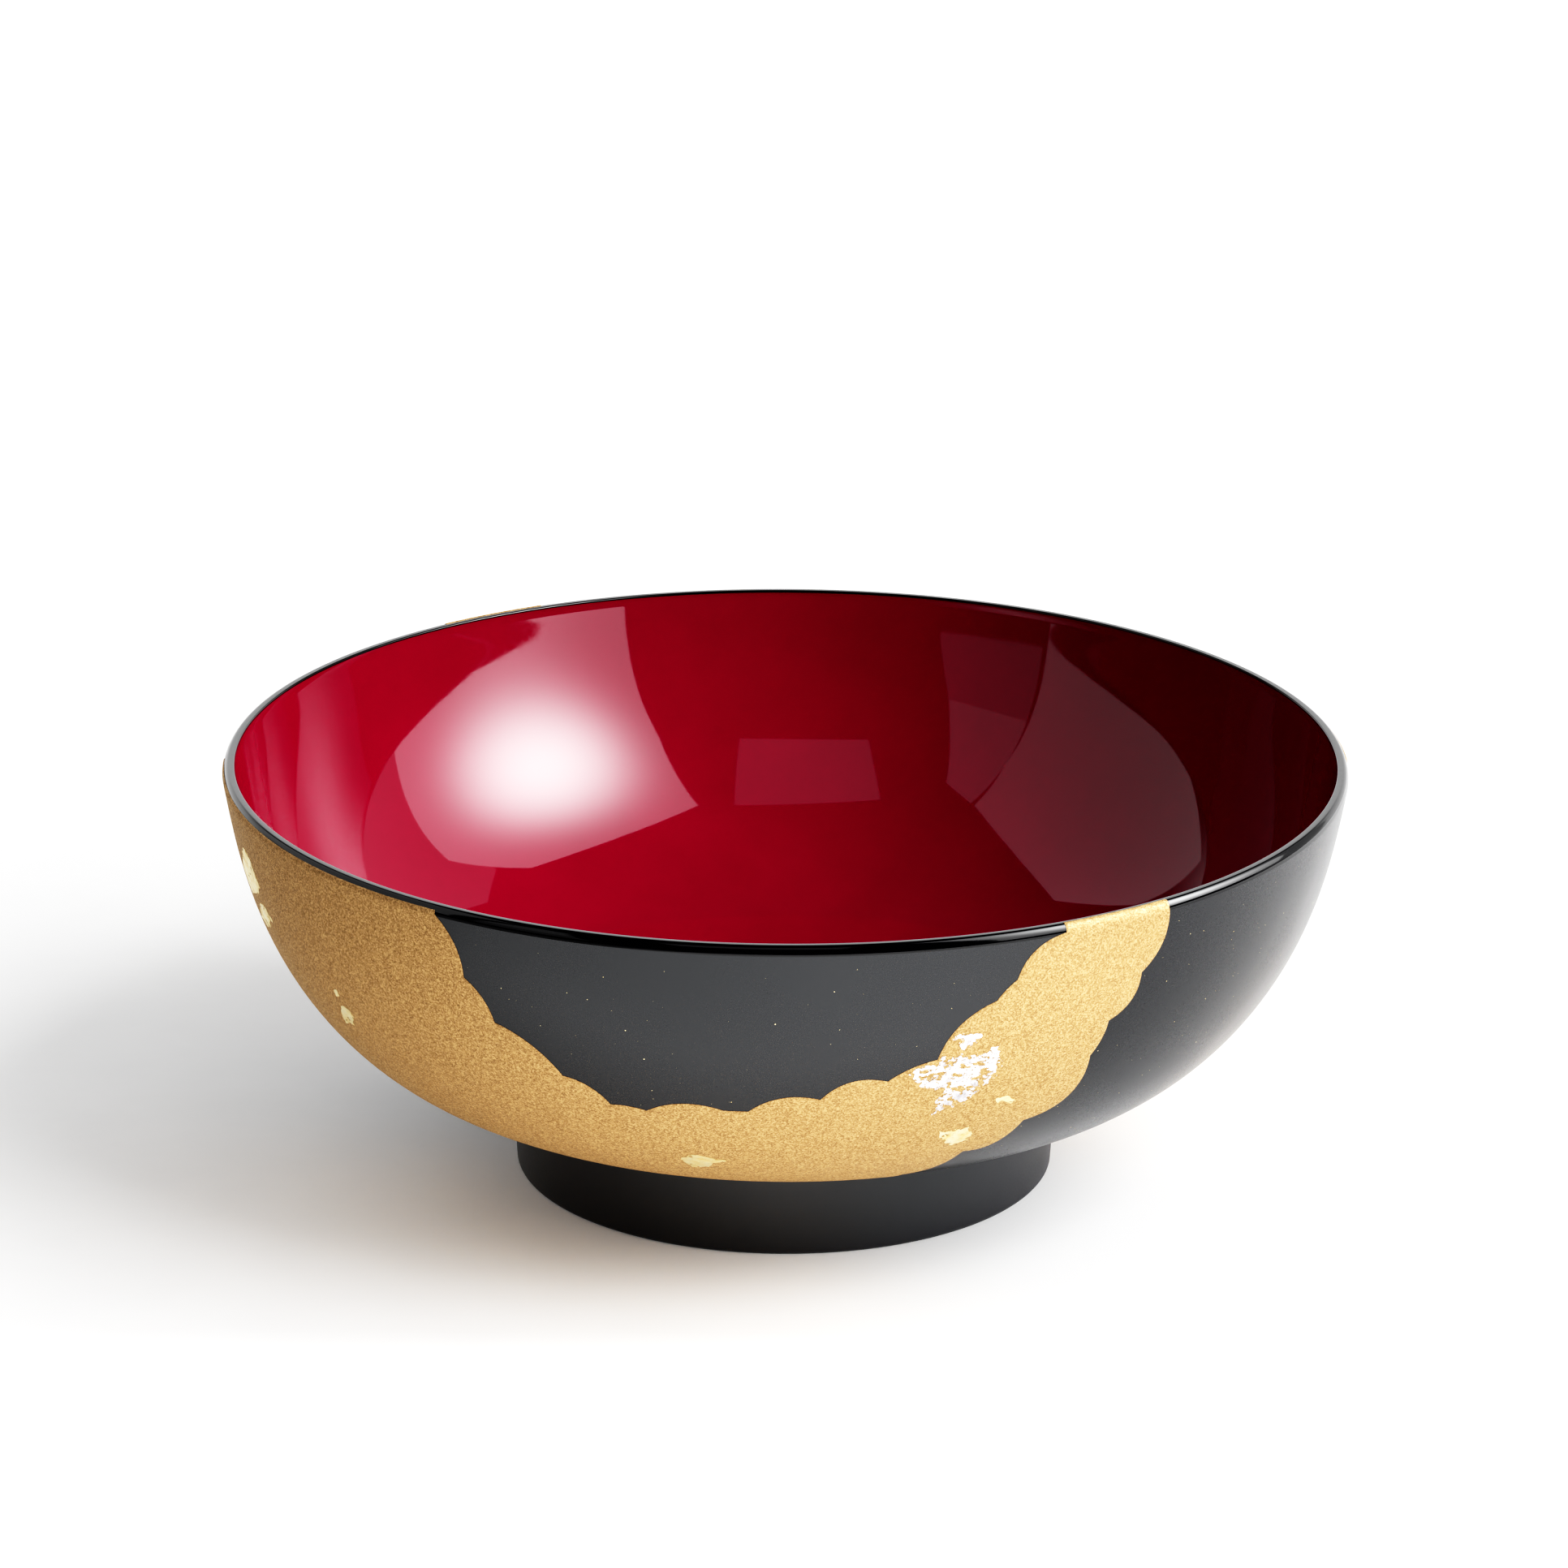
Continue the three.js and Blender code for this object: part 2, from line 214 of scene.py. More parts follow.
class Nodes:
    """A material's node tree, with short calls for the nodes that the finishes share."""

    def __init__(self, name):
        self.material = bpy.data.materials.new(name)
        self.material.use_nodes = True
        self.tree = self.material.node_tree
        self.shader = self.tree.nodes["Principled BSDF"]
        self.place = self.tree.nodes.new("ShaderNodeTexCoord").outputs["Object"]

    def constant(self, **values):
        for name, value in values.items():
            self.shader.inputs[name.replace("_", " ")].default_value = value

    def link(self, source, socket):
        self.tree.links.new(source, socket)

    def feed(self, source, name):
        self.link(source, self.shader.inputs[name])

    def noise(self, scale, detail=2.0, roughness=0.5, vector=None):
        node = self.tree.nodes.new("ShaderNodeTexNoise")
        node.inputs["Scale"].default_value = scale
        node.inputs["Detail"].default_value = detail
        node.inputs["Roughness"].default_value = roughness
        self.link(vector or self.place, node.inputs["Vector"])
        return node.outputs["Fac"]

    def cells(self, scale, output="Distance", feature="F1"):
        node = self.tree.nodes.new("ShaderNodeTexVoronoi")
        node.feature = feature
        node.inputs["Scale"].default_value = scale
        self.link(self.place, node.inputs["Vector"])
        return node.outputs[output]

    def distance(self, point):
        node = self.tree.nodes.new("ShaderNodeVectorMath")
        node.operation = "DISTANCE"
        node.inputs[1].default_value = point
        self.link(self.place, node.inputs[0])
        return node.outputs["Value"]

    def ramp(self, source, stops):
        """Colours along a value: stops are (position, colour)."""
        node = self.tree.nodes.new("ShaderNodeValToRGB")
        elements = node.color_ramp.elements
        while len(elements) < len(stops):
            elements.new(0.5)
        for element, (position, colour) in zip(elements, stops):
            element.position = position
            element.color = (*colour, 1)
        self.link(source, node.inputs["Fac"])
        return node.outputs["Color"]

    def remap(self, source, low, high, to_low, to_high):
        node = self.tree.nodes.new("ShaderNodeMapRange")
        for name, value in (("From Min", low), ("From Max", high),
                            ("To Min", to_low), ("To Max", to_high)):
            node.inputs[name].default_value = value
        self.link(source, node.inputs["Value"])
        return node.outputs["Result"]

    def math(self, operation, a, b):
        node = self.tree.nodes.new("ShaderNodeMath")
        node.operation = operation
        for value, socket in zip((a, b), node.inputs):
            if isinstance(value, (int, float)):
                socket.default_value = value
            else:
                self.link(value, socket)
        return node.outputs["Value"]

    def mix(self, factor, a, b):
        node = self.tree.nodes.new("ShaderNodeMix")
        node.data_type = "RGBA"
        for value, socket in ((factor, node.inputs["Factor"]), (a, node.inputs["A"]),
                              (b, node.inputs["B"])):
            if isinstance(value, tuple):
                socket.default_value = (*value, 1)
            else:
                self.link(value, socket)
        return node.outputs["Result"]

    def bump(self, height, distance, strength=1.0, under=None):
        node = self.tree.nodes.new("ShaderNodeBump")
        node.inputs["Distance"].default_value = distance
        node.inputs["Strength"].default_value = strength
        self.link(height, node.inputs["Height"])
        if under:
            self.link(under, node.inputs["Normal"])
        return node.outputs["Normal"]


# ---------------------------------------------------------------- materials


def red_lacquer():
    """Polished red lacquer: deep even colour, a faint cloudiness, a mirror surface."""
    n = Nodes("red_lacquer")
    n.constant(Specular_IOR_Level=0.5, IOR=1.52)
    cloudy = n.noise(38, 4, 0.6)
    fine = n.noise(900, 2, 0.5)
    depth = n.math("MULTIPLY_ADD", cloudy, 0.8)
    depth.node.inputs[2].default_value = 0.1
    colour = n.ramp(depth, [(0.3, (0.220, 0.0026, 0.0310)), (0.7, (0.250, 0.0034, 0.0360))])
    n.feed(colour, "Base Color")
    n.feed(n.remap(fine, 0.3, 0.7, 0.02, 0.045), "Roughness")
    n.feed(n.bump(n.noise(60, 2, 0.5), 0.05 * MM, 0.25), "Normal")
    return n.material


def satin_black(name, low, high, sheen, colour):
    """Rubbed black lacquer: the fine matting varies a little from place to place."""
    n = Nodes(name)
    n.constant(Specular_IOR_Level=0.5, IOR=sheen, Specular_Tint=(0.96, 0.98, 1.0, 1))
    grain = n.noise(2600, 3, 0.6)
    broad = n.noise(24, 3, 0.55)
    n.feed(n.ramp(grain, [(0.35, tuple(0.75 * c for c in colour)), (0.7, colour)]), "Base Color")
    n.feed(n.remap(n.math("ADD", n.math("MULTIPLY", grain, 0.5), broad), 0.5, 1.0, low, high),
           "Roughness")
    n.feed(n.bump(grain, 0.02 * MM, 0.35), "Normal")
    return n.material


def gloss_black():
    """Polished black lacquer of the lip, with the slight haze of handling."""
    n = Nodes("black_gloss_lacquer")
    n.constant(Specular_IOR_Level=0.5, IOR=1.52)
    n.feed(n.ramp(n.noise(300, 2), [(0.3, (0.0022, 0.0022, 0.0028)), (0.7, (0.004, 0.004, 0.005))]),
           "Base Color")
    n.feed(n.remap(n.noise(700, 3), 0.3, 0.7, 0.05, 0.11), "Roughness")
    n.feed(n.bump(n.noise(180, 2), 0.03 * MM, 0.3), "Normal")
    return n.material


def gold_powder():
    """Fine gold powder in lacquer: a grain of separate bright and dark flecks."""
    n = Nodes("gold_powder")
    grain = n.noise(3800, 2, 0.6)
    fleck = n.cells(3600, "Color")
    split = n.tree.nodes.new("ShaderNodeSeparateColor")
    n.link(fleck, split.inputs["Color"])
    broad = n.noise(30, 3, 0.6)
    mixed = n.math(
        "ADD", n.math("MULTIPLY", grain, 0.6), n.math("MULTIPLY", split.outputs["Red"], 0.4),
    )
    colour = n.ramp(mixed, [
        (0.25, (0.25, 0.154, 0.068)), (0.5, (0.45, 0.286, 0.132)), (0.75, (0.69, 0.465, 0.238)),
    ])
    n.feed(n.mix(n.remap(broad, 0.3, 0.7, 0.0, 0.14), colour, (0.48, 0.31, 0.15)), "Base Color")
    n.constant(Metallic=0.4, Specular_IOR_Level=0.3)
    n.feed(n.remap(split.outputs["Green"], 0, 1, 0.50, 0.75), "Roughness")
    n.feed(n.bump(mixed, 0.05 * MM, 0.7), "Normal")
    return n.material


def metal_leaf(name, dark, bright, rough):
    """Beaten leaf laid by hand: fine creases, patches that lie a little differently."""
    n = Nodes(name)
    crease = n.cells(650, "Distance", "DISTANCE_TO_EDGE")
    patch = n.noise(420, 4, 0.65)
    n.feed(n.ramp(patch, [(0.3, dark), (0.62, bright)]), "Base Color")
    n.constant(Metallic=1.0)
    n.feed(n.remap(patch, 0.3, 0.7, rough[1], rough[0]), "Roughness")
    creased = n.bump(n.remap(crease, 0.0, 0.12, 0.0, 1.0), 0.06 * MM, 0.5)
    n.feed(n.bump(patch, 0.25 * MM, 0.6, creased), "Normal")
    return n.material


def turned_wood():
    """Pale turned wood: growth rings across the blank and fine pores along it."""
    n = Nodes("turned_wood")
    stretch = n.tree.nodes.new("ShaderNodeMapping")
    stretch.inputs["Scale"].default_value = (1.0, 0.12, 1.0)
    n.link(n.place, stretch.inputs["Vector"])
    rings = n.noise(170, 3, 0.55, stretch.outputs["Vector"])
    pores = n.noise(1800, 2, 0.6, stretch.outputs["Vector"])
    colour = n.ramp(rings, [
        (0.35, (0.44, 0.27, 0.13)), (0.5, (0.56, 0.37, 0.19)), (0.62, (0.49, 0.31, 0.15)),
    ])
    n.feed(n.mix(n.remap(pores, 0.5, 0.75, 0, 0.6), colour, (0.30, 0.17, 0.08)), "Base Color")
    n.constant(Roughness=0.62)
    n.feed(n.bump(pores, 0.05 * MM, 0.4), "Normal")
    return n.material


RED = red_lacquer()
SATIN = satin_black("black_satin_lacquer", 0.22, 0.32, 1.57, (0.0072, 0.0072, 0.0086))
FOOT_SATIN = satin_black("foot_satin_lacquer", 0.32, 0.46, 1.85, (0.0062, 0.0056, 0.0076))
GLOSS = gloss_black()
GOLD = gold_powder()
SILVER_LEAF = metal_leaf("silver_leaf", (0.46, 0.44, 0.47), (0.90, 0.90, 0.91), (0.2, 0.45))
GOLD_LEAF = metal_leaf("gold_leaf", (0.86, 0.66, 0.30), (0.99, 0.88, 0.56), (0.25, 0.5))
WOOD = turned_wood()

# ---------------------------------------------------------------- turned pieces


def lining_ripple(radius, height, azimuth):
    """The rubbed lining is round to a few hundredths of a millimetre."""
    lobes = np.sin(5 * azimuth + 60 * height) + 0.6 * np.sin(9 * azimuth - 95 * height + 1.3)
    return 0.018 * MM * lobes * np.clip(radius / RIM_RADIUS, 0, 1) ** 2


def build_wood_body():
    depth = lambda t: np.full_like(t, COAT + GLUE_GAP)
    lining = lambda t: thickness(t) - COAT - GLUE_GAP
    seat, groove = SEAT_HEIGHT, SEAT_HEIGHT + TONGUE_RISE + JOINT_GAP
    seat_points = np.array([
        (WELL_TOP_RADIUS - 0.1 * MM, seat), (TONGUE_INNER - JOINT_GAP, seat),
        (TONGUE_INNER - JOINT_GAP, groove), (TONGUE_OUTER + JOINT_GAP, groove),
        (TONGUE_OUTER + JOINT_GAP, seat), (FOOT_TOP_RADIUS + 0.1 * MM, seat),
    ])
    inner_top = wall_path(1, 1, 0, lining)[0]
    top = [p for p in lip_path(COAT + 2 * GLUE_GAP, 12) if p[0] > inner_top[0] + 0.02 * MM]
    section = np.concatenate([
        wall_path(0, T_WELL, 12, depth), seat_points,
        wall_path(T_FOOT, T_LIP, 60, depth), np.array(top)[1:], [(inner_top[0], top[-1][1])],
        wall_path(1, 0, 80, lining),
    ])
    new_piece("wood_body_turned", "wood_body", "wood", *turned(section, False), WOOD)


def build_red_lining():
    outside = lambda t: thickness(t) - COAT
    section = np.concatenate([
        wall_path(0, 1, 70, outside),
        [(LIP_INNER + COAT, LINING_TOP), (LIP_INNER, LINING_TOP)],
        wall_path(1, 0, WALL_STEPS, thickness),
    ])
    new_piece("red_lining_polished", "red_lining", "red_lacquer",
              *turned(section, False, lining_ripple), RED)


def build_outer_coat():
    section = np.concatenate([
        wall_path(T_FOOT, T_LIP, WALL_STEPS, np.zeros_like),
        wall_path(T_LIP, T_FOOT, 50, coat_depth),
    ])
    new_piece("black_outer_coat_rubbed", "black_outer_coat", "black_satin_lacquer",
              *turned(section, True), SATIN)


def build_lip():
    section = np.concatenate([
        lip_path(0, 24),
        [(LIP_INNER, LINING_TOP + 0.02 * MM)],
        lip_path(COAT, 12)[::-1][1:],
    ])
    new_piece("black_lip_polished", "black_lip", "black_gloss_lacquer",
              *turned(section, True), GLOSS)


def foot_path(inset, outer_top, inner_top):
    """Half section of the foot: down the outside, across the base, up inside the well."""
    rounding = FOOT_EDGE_ROUND - inset
    outer = arc(
        (FOOT_BASE_RADIUS - FOOT_EDGE_ROUND, FOOT_EDGE_ROUND), (rounding, rounding), 0, -90, 8,
    )
    inner = arc(
        (FOOT_BASE_RADIUS - FOOT_WALL + FOOT_EDGE_ROUND, FOOT_EDGE_ROUND),
        (rounding, rounding), -90, -180, 8,
    )
    down = np.linspace((FOOT_TOP_RADIUS - inset, outer_top), outer[0], 10)[:-1]
    up = np.linspace(inner[-1], (WELL_TOP_RADIUS + inset, inner_top), 10)[1:]
    return np.concatenate([down, outer, inner, up])


def build_foot():
    coat = np.concatenate([
        foot_path(COAT, FOOT_TOP, WELL_TOP), foot_path(0, FOOT_TOP, WELL_TOP)[::-1],
    ])
    new_piece("foot_coat_rubbed", "foot_coat", "foot_satin_lacquer", *turned(coat, True), FOOT_SATIN)
    top = SEAT_HEIGHT - JOINT_GAP
    ring = np.concatenate([
        [(TONGUE_INNER, top)],
        foot_path(COAT + GLUE_GAP, top, top)[::-1],
        [(TONGUE_OUTER, top), (TONGUE_OUTER, top + TONGUE_RISE), (TONGUE_INNER, top + TONGUE_RISE)],
    ])
    new_piece("foot_ring_turned", "foot_ring", "wood", *turned(ring, True), WOOD)


def build_underside():
    section = np.concatenate([
        wall_path(0, T_WELL, 24, np.zeros_like),
        wall_path(T_WELL, 0, 24, coat_depth),
    ])
    new_piece("underside_coat_rubbed", "underside_coat", "foot_satin_lacquer",
              *turned(section, False), FOOT_SATIN)


# ---------------------------------------------------------------- the decorated surface
# Decoration is drawn on the unrolled outer face: girth across, and the way up the section.

GIRTH_PER_DEGREE = 2 * MM


def outer_section():
    """The outer face from foot to lip as a table: way, radius, height, normal, drawn height."""
    wall = wall_path(T_FOOT, T_LIP, 600, np.zeros_like)
    lip = lip_path(0, 60)[1:-1]
    path = np.concatenate([wall, lip])
    step = np.gradient(path, axis=0)
    step = step / np.linalg.norm(step, axis=1, keepdims=True)
    way = np.concatenate([[0], np.cumsum(np.linalg.norm(np.diff(path, axis=0), axis=1))])
    drawn = np.concatenate([wall[:, 1], LIP_START + way[len(wall):] - way[len(wall) - 1]])
    return way, path, np.stack([step[:, 1], -step[:, 0]], axis=1), drawn


WAY, SECTION, NORMAL, DRAWN = outer_section()
LIP_WAY = float(np.interp(LIP_START, DRAWN, WAY))


def unrolled(azimuth, drawn):
    """Azimuth in degrees and drawn height in metres, as girth and way up the section."""
    return np.stack([np.asarray(azimuth) * GIRTH_PER_DEGREE, np.interp(drawn, DRAWN, WAY)], axis=-1)


def on_surface(flat, lift):
    """Points of the unrolled face put back on the bowl, lifted off it along the normal."""
    azimuth = np.radians(flat[:, 0] / GIRTH_PER_DEGREE)
    radius, height = (
        np.interp(flat[:, 1], WAY, SECTION[:, axis]) + lift * np.interp(flat[:, 1], WAY, NORMAL[:, axis])
        for axis in (0, 1)
    )
    return np.stack([radius * np.sin(azimuth), -radius * np.cos(azimuth), height], axis=1)


def distance_to(points, loop):
    """Distance of each point from a closed line, negative outside it."""
    best = np.full(len(points), np.inf)
    inside = np.zeros(len(points), bool)
    for a, b in zip(loop, np.roll(loop, -1, axis=0)):
        edge = b - a
        share = np.clip((points - a) @ edge / max(edge @ edge, 1e-18), 0, 1)
        best = np.minimum(best, np.linalg.norm(points - a - share[:, None] * edge, axis=1))
        if a[1] != b[1]:
            crosses = (a[1] > points[:, 1]) != (b[1] > points[:, 1])
            at = a[0] + (points[:, 1] - a[1]) * edge[0] / edge[1]
            inside ^= crosses & (points[:, 0] < at)
    return np.where(inside, best, -best)


def layer(flat, faces, lift, base=0.0):
    """A closed thin solid on the bowl from faces in the unrolled plane."""
    count = len(flat)
    vertices = np.concatenate([on_surface(flat, lift), on_surface(flat, np.full(count, base))])
    sides = dict.fromkeys((a, b) for face in faces for a, b in zip(face, face[1:] + face[:1]))
    solid = [tuple(f) for f in faces]
    solid += [tuple(v + count for v in reversed(f)) for f in faces]
    solid += [(b, a, a + count, b + count) for a, b in sides if (b, a) not in sides]
    return vertices.tolist(), solid


def turn_half(vertices):
    """The front's decoration turned by half a turn, for the back."""
    return [(-x, -y, z) for x, y, z in vertices]


# ---------------------------------------------------------------- gold clouds

CLOUD_LIFT = 0.16 * MM
CLOUD_EDGE = 0.05 * MM
CLOUD_BEVEL = 0.22 * MM
CLOUD_GRID = 2.4 * MM
LIP_GRID = 0.3 * MM  # closer, so that the powder follows the lip's rounding
SCALLOP_STEPS = 22

# Where two scallops meet, clockwise round the front cloud: azimuth in degrees, height in
# millimetres, and how far the next scallop swells beyond its chord.
INNER_EDGE = [
    (-36, 90, 0.23), (-33.4, 76.8, 0.22), (-30.6, 67.5, 0.20), (-23.8, 57, 0.25),
    (-19, 51, 0.10), (-15, 50.4, 0.24), (-6.5, 52, 0.0), (-3.8, 52, 0.28),
    (3.8, 55.3, 0.34), (10.7, 59.4, 0.13), (15.7, 64, 0.27), (21.2, 76.6, 0.09),
    (23.2, 81, 0.34), (28, 90, 0),
]
OUTER_EDGE = [
    (40.3, 90, 0.30), (37.9, 76.7, 0.37), (34.9, 66.8, 0.14), (33.8, 58.7, 0.52),
    (28.4, 43.6, 0.43), (22.5, 36, 0.29), (17, 27.5, 0.30), (12, 20.5, 0),
]
FAR_END = [
    (-89, 20.5, 0.3), (-88.5, 36, 0.3), (-89.5, 53, 0.3), (-88.5, 66, 0.3), (-90, 80, 0.3),
    (-89, 90, 0),
]
# How far up the lip's rounding the gold powder reaches, over the left arm and the right one.
LEFT_REACH = 1.2 * MM
RIGHT_REACH = 2.8 * MM


def scallops(corners):
    """A scalloped edge on the unrolled face. It is drawn in millimetres of girth and height."""
    girth = GIRTH_PER_DEGREE / MM
    line = []
    for (az0, h0, swell), (az1, h1, _) in zip(corners, corners[1:]):
        start = np.array([az0 * girth, h0])
        end = np.array([az1 * girth, h1])
        chord = end - start
        control = (start + end) / 2 + swell * np.array([-chord[1], chord[0]])
        t = np.linspace(0, 1, SCALLOP_STEPS, endpoint=False)[:, None]
        line.append((1 - t) ** 2 * start + 2 * t * (1 - t) * control + t ** 2 * end)
    line.append(np.array([[corners[-1][0] * girth, corners[-1][1]]]))
    line = np.concatenate(line)
    return unrolled(line[:, 0] / girth, line[:, 1] * MM)


def cloud_outline():
    """The front cloud's outline, with its points closer together over the lip."""
    left = unrolled([FAR_END[-1][0], INNER_EDGE[0][0]], [LIP_START + LEFT_REACH] * 2)
    right = unrolled([INNER_EDGE[-1][0], OUTER_EDGE[0][0]], [LIP_START + RIGHT_REACH] * 2)
    line = np.concatenate([
        left, scallops(INNER_EDGE), right, scallops(OUTER_EDGE), scallops(FAR_END),
    ])
    dense = []
    for a, b in zip(line, np.roll(line, -1, axis=0)):
        over_lip = max(a[1], b[1]) > LIP_WAY
        steps = max(1, int(np.linalg.norm(b - a) / (LIP_GRID if over_lip else 4 * LIP_GRID)))
        dense.append(a + (b - a) * np.arange(steps)[:, None] / steps)
    return np.concatenate(dense)


def build_clouds():
    """Both clouds. Returns the front one's outline."""
    outline = cloud_outline()
    ahead = np.roll(outline, -1, axis=0) - np.roll(outline, 1, axis=0)
    ahead = ahead / np.maximum(np.linalg.norm(ahead, axis=1, keepdims=True), 1e-12)
    inward = np.stack([ahead[:, 1], -ahead[:, 0]], axis=1)
    inset = outline + inward * CLOUD_BEVEL
    inset = inset[distance_to(inset, outline) > 0.8 * CLOUD_BEVEL]
    low, high = outline.min(axis=0), outline.max(axis=0)
    grid = np.stack(np.meshgrid(
        np.arange(low[0], high[0], CLOUD_GRID), np.arange(low[1], high[1], CLOUD_GRID),
    ), axis=-1).reshape(-1, 2)
    grid = grid[distance_to(grid, outline) > 3 * CLOUD_BEVEL]
    rows = np.stack(np.meshgrid(
        np.arange(low[0], high[0], 4 * LIP_GRID), np.arange(LIP_WAY - LIP_GRID, high[1], LIP_GRID),
    ), axis=-1).reshape(-1, 2)
    rows = rows[distance_to(rows, outline) > 1.3 * CLOUD_BEVEL]
    points = np.concatenate([outline, inset, grid, rows])
    edges = [(i, (i + 1) % len(outline)) for i in range(len(outline))]
    result = delaunay_2d_cdt([Vector(p) for p in points / MM], edges, [], 1, 1e-6)
    flat = np.array([(v.x, v.y) for v in result[0]]) * MM
    faces = [list(f) for f in result[2]]
    depth = np.abs(distance_to(flat, outline))
    lift = CLOUD_EDGE + (CLOUD_LIFT - CLOUD_EDGE) * np.clip(depth / CLOUD_BEVEL, 0, 1) ** 0.6
    vertices, solid = layer(flat, faces, lift)
    for side, points_3d in (("front", vertices), ("back", turn_half(vertices))):
        new_piece(f"gold_cloud_{side}_powder", f"gold_cloud_{side}", "gold_powder",
                  points_3d, solid, GOLD)
    return outline


# ---------------------------------------------------------------- torn leaf

LEAF_GRID = 0.14 * MM
LEAF_LIFT = 0.05 * MM
LEAF_MARGIN = 0.5
LEAF_BORDER = 1.6 * MM
TEAR_SCALE = 0.7
CRACK_SCALE = (0.9, 1.3)
CRACK_WIDTH = 0.08
CHIP_SCALE = (0.55, 0.8)
CHIP_LEVEL = 0.62
CHIP_SHARE = 0.40
CRINKLE_SCALE = 1.3
CRINKLE_DEPTH = 0.6
# Corners of each torn piece on the front, as azimuth in degrees and height in millimetres,
# then how ragged its edge is in millimetres and how much of it has cracked away, from 0 to 1.
# LEAF_MARGIN, in millimetres too, is how far leaf stays inside the cloud's own edge, and the
# scales are those of the noise that tears, cracks and chips it.
LEAVES = {
    "silver_leaf_large": ([
        (13, 62.5), (14.4, 63.6), (16.4, 64.5), (19.9, 64.3), (22.1, 65.8), (22.7, 60),
        (21.9, 56.5), (20.4, 53.4), (18.7, 51.2), (16.6, 50.4), (16.6, 54.5), (17.3, 56.8),
        (15, 57), (13.6, 59),
    ], 1.25, 1.0),
    "silver_leaf_small": ([
        (17, 68.8), (17.7, 70.3), (19, 69.6), (20.3, 69.2), (19.6, 67), (18.2, 66.4),
    ], 0.8, 0.95),
    "gold_leaf_patch": ([
        (17.7, 44.4), (18.8, 43.9), (21.2, 44.6), (22.3, 41.5), (20.5, 39), (18.9, 41),
    ], 0.9, 0.4),
    "gold_leaf_hook": ([
        (23.3, 51.9), (24.7, 52.4), (25.9, 50.2), (25.4, 49.6), (24.6, 51), (23.6, 50.7),
    ], 0.35, 0.1),
    "gold_leaf_torn": ([
        (-12.7, 36.2), (-11, 38), (-9.3, 37.4), (-6.6, 36.7), (-8.4, 35.6), (-9.3, 34),
        (-11.5, 33),
    ], 0.5, 0.1),
    "gold_leaf_long": ([
        (-73.2, 82), (-70.9, 81.2), (-69.2, 75.6), (-70.9, 73), (-75.7, 70), (-77.2, 75),
    ], 0.7, 0.15),
    "gold_leaf_side": ([
        (-72, 70), (-69.6, 71), (-68, 69), (-70.5, 66), (-72.5, 64.4), (-74.6, 65),
    ], 0.7, 0.3),
    "gold_leaf_chip": ([
        (-55.2, 58), (-53.9, 57.2), (-53.7, 55.5), (-55, 53.4), (-57, 52.2), (-56.8, 55),
    ], 0.5, 0.1),
    "gold_leaf_speck": ([
        (-55.7, 61.3), (-55, 61.8), (-54.8, 60.2), (-55.8, 59.5),
    ], 0.25, 0.0),
}


def ragged_field(points, loop, ragged, cracked, seed):
    """Positive where the leaf is: inside its corners, with a torn edge and cracks."""
    depth = distance_to(points, loop)
    field = np.empty(len(points))
    for i, ((x, y), inside) in enumerate(zip(points / MM, depth / MM)):
        torn = noise.fractal(Vector((x * TEAR_SCALE, y * TEAR_SCALE, seed)), 1.0, 2.0, 4)
        value = inside + ragged * (1.1 * torn - 0.05)
        if cracked and inside > -0.5:
            at = Vector((x * CRACK_SCALE[0], y * CRACK_SCALE[1], seed + 7.7))
            crack = abs(noise.fractal(at, 0.7, 2.1, 5)) - CRACK_WIDTH * cracked
            at = Vector((x * CHIP_SCALE[0], y * CHIP_SCALE[1], seed + 3.1))
            chip = CHIP_LEVEL - CHIP_SHARE * cracked - noise.fractal(at, 0.7, 2.0, 5)
            value = min(value, crack * 3, chip * 2)
        field[i] = value
    return field


def marched(field, flat, shape):
    """Faces where a field on a grid is positive, cut where it passes through zero."""
    rows, columns = shape
    points, index, faces = [], {}, []

    def place(key, position):
        if key not in index:
            index[key] = len(points)
            points.append(position)
        return index[key]

    for row in range(rows - 1):
        for column in range(columns - 1):
            first = row * columns + column
            corners = (first, first + 1, first + columns + 1, first + columns)
            values = [field[c] for c in corners]
            if max(values) <= 0:
                continue
            face = []
            for k in range(4):
                a, b = corners[k], corners[(k + 1) % 4]
                va, vb = values[k], values[(k + 1) % 4]
                if va > 0:
                    face.append(place(a, flat[a]))
                if (va > 0) != (vb > 0):
                    share = min(max(va / (va - vb), 0.04), 0.96)
                    at = flat[a] + (flat[b] - flat[a]) * share
                    face.append(place((min(a, b), max(a, b)), at))
            if len(face) > 2:
                faces.append(face)
    return np.array(points), faces


